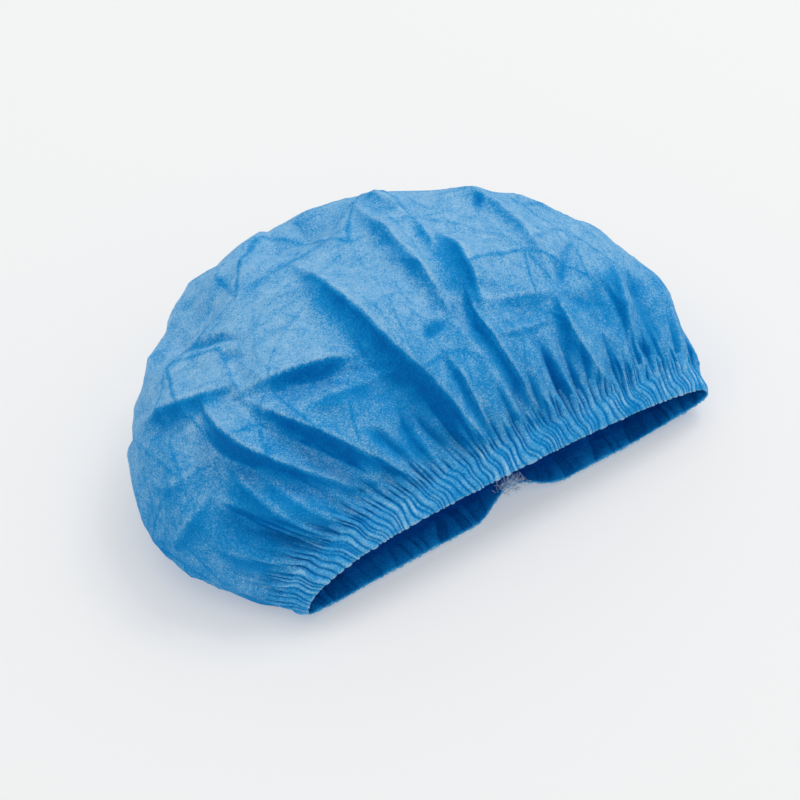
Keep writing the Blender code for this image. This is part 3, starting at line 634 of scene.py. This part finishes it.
def build_crown(material, shift):
    """The hollow bag, one open sheet of thin cloth whose edge is tucked into the hem."""
    points, normals, painted_shade, crest_highlight, counts = crown_rows()
    mouth_hours = spread_hours(counts[0])
    tuck = tuck_rows(mouth_hours)
    points = np.vstack(tuck + [points])
    normals = np.vstack([hem_normals(mouth_hours, 0.0)] * len(tuck) + [normals, normals[-1:]])
    counts = [len(mouth_hours)] * len(tuck) + counts
    starts = np.cumsum([0] + counts)
    loops = [list(range(start, start + count)) for start, count in zip(starts, counts)]
    faces = []
    for first, second in zip(loops[:-1], loops[1:]):
        faces += zip_loops(first, second)
    pole = len(points)
    points = np.vstack([points, points[loops[-1]].mean(axis=0)]) + shift
    last = loops[-1]
    faces += [(here, there, pole) for here, there in zip(last, last[1:] + last[:1])]
    crown = make_object("crown_cloth", points, faces, material)
    before = np.zeros(starts[len(tuck)])
    painted_shade = np.concatenate([before, painted_shade, painted_shade[-1:]])
    crest_highlight = np.concatenate([before, crest_highlight, crest_highlight[-1:]])
    places = [(0.0, counts[0])] * len(tuck) + row_places()
    color_crown(crown, normals, painted_shade, crest_highlight, zip(loops, places))
    return crown


def color_crown(crown, normals, painted_shade, crest_highlight, rows):
    """Write the painted shade and the painted highlight at each of the crown's points."""
    cloth_normals = np.array([vertex.normal[:] for vertex in crown.data.vertices])
    # Painted shade: steep flanks are painted deeper in colour, most of all where they are turned away from
    # the light
    turned_from_light = smooth(0.5 - 2.5 * np.sum((cloth_normals - normals) * PAINTED_LIGHT_WAY, axis=1))
    lean = 1.0 - np.abs(np.sum(cloth_normals * normals, axis=1))
    lean = smooth(lean * (0.3 + 0.7 * turned_from_light) / 0.40)
    groove_shade = np.zeros(len(normals))
    light = np.zeros(len(normals))
    reach = np.ones(len(normals))
    body = np.zeros(len(normals))
    for loop, (along, columns) in rows:
        hours = spread_hours(columns)
        wave = rib_wave(hours, 0.0, 0)
        # Painted shade in the grooves between the ribs at the seam
        groove_shade[loop] = RIB_SHADE + (1.0 - RIB_SHADE) * groove_depth(wave)
        light[loop] = rib_light(hours, -along / RIB_FADE, 0, wave)
        reach[loop] = smooth(along / RIB_FADE)
        body[loop] = body_shade(hours, along)
    total_shade = np.maximum(0.70 * lean, painted_shade) + body + 0.25 * lean * painted_shade
    total_shade = np.clip(total_shade, 0.0, 1.0) * reach
    # Painted shade of folds, creases, grooves and the body, kept for the material
    write_number(crown, "painted_shade_mask", total_shade + GROOVE_SHADE * groove_shade * (1.0 - reach))
    # Painted highlight: pale lines along fold crests and rib crests
    write_number(crown, "rim", 0.35 * crest_highlight * reach + light * (1.0 - reach))


def write_number(made, name, values):
    """Keep one number for each point of a mesh, which its material reads by name."""
    layer = made.data.attributes.new(name, "FLOAT", "POINT")
    layer.data.foreach_set("value", values)


def groove_depth(wave):
    """How far down in the groove between two ribs a place is, from 0 to 1."""
    return 1.0 - np.clip(wave / 0.45, 0.0, 1.0)


def rib_light(hours, depth_share, seed, wave, count=RIBS):
    """Light along the crests of the ribs, on each rib as bright as it happens to be."""
    index, across, _ = rib_cells(hours, depth_share, seed, count)
    draw = np.random.default_rng(60 + seed)
    bright = draw.uniform(0.1, 1.0, count)[index]
    start = draw.uniform(0.0, 1.0, count)[index]
    broken = 0.5 + 0.5 * np.sin(2.0 * np.pi * (1.1 * depth_share + start))
    narrow = smooth(1.0 - np.abs(2.0 * across - 0.9) / 0.75)
    return bright * smooth((wave - 0.25) / 0.35) * narrow * (0.25 + 0.75 * broken)


def hem_leaf(hours, share, side, seed):
    """One loop of the hem's outer or inner face, its painted shade, deep in the grooves and over the inner
    face, and its painted light.
    """
    count = RIBS if side > 0.0 else INNER_RIBS
    lean_share = share if side > 0.0 else 0.3 + 0.25 * (share - 0.3)
    wave = rib_wave(hours, lean_share, seed, count)
    index = rib_cells(hours, lean_share, seed, count)[0]
    if side > 0.0:
        skin = SEAM_LIFT + LAP + (HEM_SKIN - SEAM_LIFT - LAP) * smooth(share / 0.3)
        rise = SEAM_RIB_SHARE + (1.0 - SEAM_RIB_SHARE) * smooth(share / 0.5)
    else:
        skin = LAP + (HEM_SKIN - LAP) * smooth(share / 0.3)
        rise = np.random.default_rng(70).uniform(0.2, 1.6, count)[index] * smooth(0.3 + share / 0.5)
    edge = np.clip((share - 0.72) / 0.28, 0.0, 1.0)
    height = (skin + rise * RIB_RISE * wave) * (1.0 - 0.85 * edge ** 1.3)
    depth = share * HEM_DEPTH + 0.9 * MM * smooth(share) * (wave - 0.5)
    seam = hem_middle(hours, 0.0)
    way = hem_middle(hours, HEM_DEPTH) - seam
    points = seam + way * (depth / HEM_DEPTH)[:, None]
    points += hem_normals(hours, HEM_DEPTH * share) * (side * height)[:, None]
    # Painted shade, deepest in the grooves
    groove_shade = RIB_SHADE + (1.0 - RIB_SHADE) * groove_depth(wave)
    light = rib_light(hours, lean_share, seed, wave, count)
    # Painted light at the rim: a thin pale line on the outer face, and a paler edge on the inner face where
    # light shines through
    painted_rim_light = smooth((share - 0.91) / 0.09) * (0.5 + 0.7 * wave)
    if side < 0.0:
        # Painted shade: the whole inner face is painted deep, each rib to its own depth
        shade = np.random.default_rng(71).uniform(0.75, 1.25, count)[index]
        groove_shade = shade + 0.2 * groove_shade
        light = np.zeros(len(hours))
        painted_rim_light = 0.4 * smooth((share - 1.0 + 0.12 * wave) / 0.06)
    return points, groove_shade * (1.0 - 0.6 * painted_rim_light), np.maximum(light, painted_rim_light)


def body_shade(hours, along):
    """Painted shade: a deeper colour in a belt above the seam and over the low left end."""
    from_left = np.minimum(hours, DIAL - hours)
    belt = BELT_SHADE * (1.0 - smooth((along - 0.18) / 0.24))
    left = LEFT_SHADE * (1.0 - smooth((from_left - 1.0) / 1.6)) * (1.0 - smooth((along - 0.42) / 0.22))
    return np.maximum(belt, left)


def tongue_leaf(hours, along):
    """One loop of the hem's outer face where its ribs run on over the crown, each to its own length."""
    base = crown_base(hours, along)
    normal = crown_normals(hours, along)
    alongs = np.full(len(hours), along)
    relief, painted_shade, _ = fold_relief(base, hours, alongs, FOLDS + CREASES)
    relief = relief * smooth(along / 0.02) + gather_relief(hours, alongs)
    wave = rib_wave(hours, 0.0, 0)
    index = rib_cells(hours, 0.0, 0)[0]
    ends = np.random.default_rng(52).uniform(0.014, 0.054, RIBS)[index]
    over = 1.0 - smooth((along - ends * np.clip(wave / 0.5, 0.3, 1.0)) / TONGUE_STEP + 0.5)
    relief += TONGUE_LIFT * over - TONGUE_SINK * (1.0 - over)
    points = base + normal * relief[:, None]
    points[:, 2] = np.maximum(points[:, 2], lowest_height(along))
    reach = smooth(along / RIB_FADE)
    # Painted shade in the grooves, passing into the crown's painted shade
    groove_shade = RIB_SHADE + (1.0 - RIB_SHADE) * groove_depth(wave)
    painted_shade = np.clip(painted_shade + body_shade(hours, along), 0.0, 1.0) / GROOVE_SHADE
    light = rib_light(hours, -along / RIB_FADE, 0, wave)
    return points, groove_shade * (1.0 - reach) + painted_shade * reach, light * (1.0 - reach)


def build_hem(material, shift):
    """The gathered casing: a soft closed band with ribs on both of its faces."""
    hours = np.arange(HEM_COLUMNS) * DIAL / HEM_COLUMNS
    shares = np.concatenate([np.linspace(0.0, 0.3, 5), np.linspace(0.3, 1.0, 10)[1:]])
    leaves = [tongue_leaf(hours, along) for along in TONGUE_ALONGS]
    leaves += [hem_leaf(hours, share, 1.0, 0) for share in shares]
    leaves += [hem_leaf(hours, share, -1.0, 2) for share in shares[-2::-1]]
    loops = np.array([leaf[0] for leaf in leaves])
    seam = len(TONGUE_ALONGS)
    for _ in range(SEAM_ROUNDS):
        bend = loops[seam - 5:seam + 6]
        loops[seam - 4:seam + 5] = 0.25 * bend[:-2] + 0.5 * bend[1:-1] + 0.25 * bend[2:]
    points = loops.reshape(-1, 3) + shift
    numbers = [list(range(i * HEM_COLUMNS, (i + 1) * HEM_COLUMNS)) for i in range(len(leaves))]
    faces = []
    for first, second in zip(numbers, numbers[1:] + numbers[:1]):
        faces += zip_loops(first, second)
    hem = make_object("hem_cloth", points, faces, material)
    # Painted shade of the grooves and of the inner face
    write_number(hem, "painted_shade_mask", GROOVE_SHADE * np.concatenate([leaf[1] for leaf in leaves]))
    # Painted highlight along the ribs and painted light at the rim
    write_number(hem, "rim", np.concatenate([leaf[2] for leaf in leaves]))
    return hem


def tube(centre_line, radius, sides, points, faces):
    """Add a thin closed tube along a line of points."""
    line = np.asarray(centre_line)
    start = len(points)
    for index, point in enumerate(line):
        before = line[max(index - 1, 0)]
        after = line[min(index + 1, len(line) - 1)]
        way = Vector(after - before).normalized()
        side = way.orthogonal().normalized()
        other = way.cross(side)
        thin = radius * (0.45 if index in (0, len(line) - 1) else 1.0)
        for step in range(sides):
            angle = 2.0 * np.pi * step / sides
            points.append(Vector(point) + side * (thin * np.cos(angle)) + other * (thin * np.sin(angle)))
    for index in range(len(line) - 1):
        for step in range(sides):
            here = start + index * sides + step
            beside = start + index * sides + (step + 1) % sides
            faces.append((here, beside, beside + sides, here + sides))
    faces.append(tuple(start + step for step in range(sides)))
    faces.append(tuple(start + (len(line) - 1) * sides + step for step in reversed(range(sides))))


def join_hour():
    """The hour at which the lower rim passes the join."""
    hours = np.linspace(13.0, 23.0, 2001)
    rim = hem_middle(hours, HEM_DEPTH)
    return hours[np.argmin(np.abs(rim[:, 0] - JOIN_X))]


def build_join(material, shift):
    """The torn pale fibres at the middle of the lower hem."""
    centre = join_hour()
    dial_length = np.linalg.norm(hem_middle(np.array([centre + 0.5]), HEM_DEPTH)[0]
                                 - hem_middle(np.array([centre - 0.5]), HEM_DEPTH)[0])
    draw = np.random.default_rng(7)
    points = []
    faces = []
    for _ in range(LOOSE_FIBRES):
        hour = centre + draw.normal(0.0, 0.30) * TACK_WIDTH / dial_length
        depth = HEM_DEPTH - abs(draw.normal(0.0, 2.2)) * MM
        side = -1.0 if draw.random() < 0.75 else 1.0
        height = side * (HEM_SKIN + draw.uniform(0.3, 1.3) * MM)
        start = hem_middle(np.array([hour]), depth)[0] + hem_normals(np.array([hour]), depth)[0] * height
        way = draw.normal(0.0, 1.0, 3)
        way[2] = abs(way[2]) * 0.5
        way /= np.linalg.norm(way)
        curl = draw.normal(0.0, 0.7, 3)
        reach = draw.uniform(1.5, 4.5) * MM
        steps = np.linspace(0.0, 1.0, 5)
        line = [start + reach * (step * way + step * step * curl * 0.6) for step in steps]
        tube(np.array(line) + shift, draw.uniform(0.07, 0.16) * MM, 4, points, faces)
    return make_object("join_fibres", points, faces, material)


def build_knot(material, shift):
    """The pinched lump of cloth and melted fibre under the join's loose threads."""
    centre = np.array([join_hour()])
    middle = hem_middle(centre, HEM_DEPTH - 1.5 * MM)[0] + shift
    inward = -hem_normals(centre, HEM_DEPTH)[0]
    bpy.ops.mesh.primitive_ico_sphere_add(subdivisions=4, radius=1.0)
    knot = bpy.context.object
    knot.name = "join_knot"
    for vertex in knot.data.vertices:
        place = vertex.co.copy()
        lump = 1.0 + 0.35 * noise.noise(place * 2.1) + 0.2 * noise.noise(place * 5.0)
        size = Vector((4.6, 2.6, 2.0)) * MM
        vertex.co = Vector([value * width * lump for value, width in zip(place, size)])
        vertex.co += Vector(middle + inward * 1.6 * MM)
    knot.data.materials.append(material)
    knot.data.shade_smooth()
    return knot


def new_material(name):
    """An empty node material with its Principled shader."""
    material = bpy.data.materials.new(name)
    material.use_nodes = True
    nodes = material.node_tree.nodes
    return material, nodes, material.node_tree.links, nodes["Principled BSDF"]


def ramp(nodes, stops):
    """A colour ramp with the given places and colours."""
    made = nodes.new("ShaderNodeValToRGB")
    elements = made.color_ramp.elements
    while len(elements) < len(stops):
        elements.new(0.5)
    for element, (place, color) in zip(elements, stops):
        element.position = place
        element.color = (*color, 1.0)
    return made


def noise_texture(nodes, links, place, stretch, detail, roughness):
    """Noise whose grain is drawn out by its own scale along each axis."""
    spread = nodes.new("ShaderNodeMapping")
    spread.inputs["Scale"].default_value = stretch
    links.new(place.outputs["Object"], spread.inputs["Vector"])
    grain = nodes.new("ShaderNodeTexNoise")
    grain.inputs["Scale"].default_value = 1.0
    grain.inputs["Detail"].default_value = detail
    grain.inputs["Roughness"].default_value = roughness
    links.new(spread.outputs["Vector"], grain.inputs["Vector"])
    return grain


def mix_numbers(nodes, links, share, first, second):
    """A weighted mean of two numbers."""
    mix = nodes.new("ShaderNodeMix")
    mix.data_type = "FLOAT"
    mix.inputs["Factor"].default_value = share
    links.new(first, mix.inputs["A"])
    links.new(second, mix.inputs["B"])
    return mix.outputs["Result"]


def add_attribute(nodes, links, value, attribute, weight):
    """A number with a weighted attribute of the mesh added to it."""
    source = nodes.new("ShaderNodeAttribute")
    source.attribute_name = attribute
    total = nodes.new("ShaderNodeMath")
    total.operation = "MULTIPLY_ADD"
    total.inputs[1].default_value = weight
    links.new(source.outputs["Fac"], total.inputs[0])
    links.new(value, total.inputs[2])
    return total.outputs["Value"]


def cloth_material(name, blues, translucency):
    """Thin spun non-woven: crossing fibres, clouds, small emboss dots, matt, lit a little from behind."""
    material, nodes, links, shader = new_material(name)
    place = nodes.new("ShaderNodeTexCoord")
    clouds = noise_texture(nodes, links, place, (130.0, 130.0, 130.0), 6.0, 0.70)
    across = noise_texture(nodes, links, place, (700.0, 2400.0, 1500.0), 4.0, 0.75)
    along = noise_texture(nodes, links, place, (2400.0, 700.0, 1700.0), 4.0, 0.75)
    dots = nodes.new("ShaderNodeTexVoronoi")
    dots.inputs["Scale"].default_value = 620.0
    dots.inputs["Randomness"].default_value = 0.25
    links.new(place.outputs["Object"], dots.inputs["Vector"])
    fibre = mix_numbers(nodes, links, 0.5, across.outputs["Fac"], along.outputs["Fac"])
    amount = mix_numbers(nodes, links, 0.78, clouds.outputs["Fac"], fibre)
    # Painted shade paints the colour deeper
    amount = add_attribute(nodes, links, amount, "painted_shade_mask", -0.25)
    # Painted highlight paints the colour paler
    amount = add_attribute(nodes, links, amount, "rim", 0.12)
    tint = ramp(nodes, blues)
    links.new(amount, tint.inputs["Fac"])
    links.new(tint.outputs["Color"], shader.inputs["Base Color"])
    shader.inputs["Roughness"].default_value = 0.7
    shader.inputs["Specular IOR Level"].default_value = 0.05
    dot_bump = nodes.new("ShaderNodeBump")
    dot_bump.inputs["Strength"].default_value = 0.25
    dot_bump.inputs["Distance"].default_value = 0.00012
    links.new(dots.outputs["Distance"], dot_bump.inputs["Height"])
    fibre_bump = nodes.new("ShaderNodeBump")
    fibre_bump.inputs["Strength"].default_value = 0.5
    fibre_bump.inputs["Distance"].default_value = 0.00025
    links.new(fibre, fibre_bump.inputs["Height"])
    links.new(dot_bump.outputs["Normal"], fibre_bump.inputs["Normal"])
    links.new(fibre_bump.outputs["Normal"], shader.inputs["Normal"])
    glow = nodes.new("ShaderNodeBsdfTranslucent")
    links.new(tint.outputs["Color"], glow.inputs["Color"])
    links.new(fibre_bump.outputs["Normal"], glow.inputs["Normal"])
    blend = nodes.new("ShaderNodeMixShader")
    blend.inputs["Fac"].default_value = translucency
    links.new(shader.outputs["BSDF"], blend.inputs[1])
    links.new(glow.outputs["BSDF"], blend.inputs[2])
    links.new(blend.outputs["Shader"], nodes["Material Output"].inputs["Surface"])
    return material


def thread_material(name, dark, light, roughness):
    """Fine pale thread with a little colour change along it."""
    material, nodes, links, shader = new_material(name)
    place = nodes.new("ShaderNodeTexCoord")
    grain = nodes.new("ShaderNodeTexNoise")
    grain.inputs["Scale"].default_value = 700.0
    grain.inputs["Detail"].default_value = 3.0
    links.new(place.outputs["Object"], grain.inputs["Vector"])
    tint = ramp(nodes, ((0.35, dark), (0.65, light)))
    links.new(grain.outputs["Fac"], tint.inputs["Fac"])
    links.new(tint.outputs["Color"], shader.inputs["Base Color"])
    bump = nodes.new("ShaderNodeBump")
    bump.inputs["Strength"].default_value = 0.4
    bump.inputs["Distance"].default_value = 0.0001
    links.new(grain.outputs["Fac"], bump.inputs["Height"])
    links.new(bump.outputs["Normal"], shader.inputs["Normal"])
    shader.inputs["Roughness"].default_value = roughness
    return material


def floor_material():
    """Plain pale paper, a touch cool."""
    material, _, _, shader = new_material("pale_floor")
    shader.inputs["Base Color"].default_value = (0.60, 0.60, 0.60, 1.0)
    shader.inputs["Emission Color"].default_value = (1.0, 1.0, 1.0, 1.0)
    shader.inputs["Emission Strength"].default_value = 0.29
    shader.inputs["Roughness"].default_value = 0.8
    shader.inputs["Specular IOR Level"].default_value = 0.2
    return material


def build_floor():
    """A large pale floor under the cap."""
    bpy.ops.mesh.primitive_plane_add(size=12.0, location=(0.0, 0.0, 0.0))
    floor = bpy.context.object
    floor.name = "pale_floor"
    floor.data.materials.append(floor_material())


def area_light(name, place, target, size, power, color):
    """A square soft light aimed at a point."""
    data = bpy.data.lights.new(name, "AREA")
    data.shape = "SQUARE"
    data.size = size
    data.energy = power
    data.color = color
    lamp = bpy.data.objects.new(name, data)
    lamp.location = place
    lamp.rotation_euler = (Vector(target) - Vector(place)).to_track_quat("-Z", "Y").to_euler()
    bpy.context.scene.collection.objects.link(lamp)


def build_lights():
    """A soft key from high on the right and behind, a wide soft box overhead and a faint surround."""
    target = (0.0, 0.0, 0.03)
    area_light("key", (1.75, 0.25, 2.9), target, 1.4, 29.0, (1.0, 0.99, 0.97))
    area_light("overhead", (0.0, 0.2, 5.0), target, 4.8, 17.0, (0.99, 0.995, 1.0))
    world = bpy.data.worlds.new("surround")
    world.use_nodes = True
    back = world.node_tree.nodes["Background"]
    back.inputs["Color"].default_value = (0.98, 0.99, 1.0, 1.0)
    back.inputs["Strength"].default_value = 0.76
    bpy.context.scene.world = world
    bpy.context.scene.view_settings.view_transform = "Standard"


def build_camera(shift):
    """The photograph's view: high, from the left of the mouth."""
    azimuth = np.radians(CAMERA_AZIMUTH)
    elevation = np.radians(CAMERA_ELEVATION)
    back = Vector((np.sin(azimuth) * np.cos(elevation), -np.cos(azimuth) * np.cos(elevation),
                   np.sin(elevation)))
    data = bpy.data.cameras.new("camera")
    data.lens = CAMERA_LENS
    data.sensor_width = CAMERA_SENSOR
    camera = bpy.data.objects.new("camera", data)
    look = (-back).to_track_quat("-Z", "Y").to_matrix().to_4x4()
    turn = Matrix.Rotation(np.radians(AIM_YAW), 4, "Y") @ Matrix.Rotation(np.radians(AIM_PITCH), 4, "X")
    camera.matrix_world = Matrix.Translation(Vector(shift) + back * CAMERA_DISTANCE) @ look @ turn
    bpy.context.scene.collection.objects.link(camera)
    bpy.context.scene.camera = camera


def dress(piece, slot_name, *nodes):
    """Let a piece move with the cap and stand for its CAD nodes, which are hidden; slot_name is not used."""
    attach(piece, ROOT)
    if nodes:
        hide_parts(*nodes)


def main():
    """Dress the frame and set the stage."""
    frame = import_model()
    shift = find_shift()
    crown_blues = ((0.22, (0.000, 0.14, 0.46)), (0.33, (0.000, 0.24, 0.61)), (0.42, (0.020, 0.32, 0.70)),
                   (0.50, (0.225, 0.53, 0.82)), (0.60, (0.430, 0.68, 0.90)))
    hem_blues = ((0.22, (0.000, 0.10, 0.34)), (0.33, (0.000, 0.20, 0.56)), (0.44, (0.020, 0.32, 0.70)),
                 (0.53, (0.180, 0.50, 0.80)), (0.64, (0.440, 0.70, 0.93)))
    crown = build_crown(cloth_material("crown_nonwoven", crown_blues, 0.18), shift)
    hem = build_hem(cloth_material("hem_nonwoven", hem_blues, 0.08), shift)
    pale = thread_material("torn_fibre", (0.34, 0.44, 0.58), (0.72, 0.78, 0.86), 0.7)
    fibres = build_join(pale, shift)
    knot_pale = thread_material("knot_fibre", (0.16, 0.34, 0.60), (0.50, 0.62, 0.78), 0.75)
    knot = build_knot(knot_pale, shift)
    rubber = thread_material("elastic_rubber", (0.70, 0.72, 0.74), (0.86, 0.87, 0.88), 0.5)
    strip = frame["nodes"]["elastic"]
    strip.data.materials.clear()
    strip.data.materials.append(rubber)
    dress(crown, "crown_cloth", "crown")
    dress(hem, "hem_cloth", "hem")
    dress(knot, "tack_fibres", "hem_join")
    dress(fibres, "tack_fibres")
    build_floor()
    build_lights()
    build_camera(shift)


main()
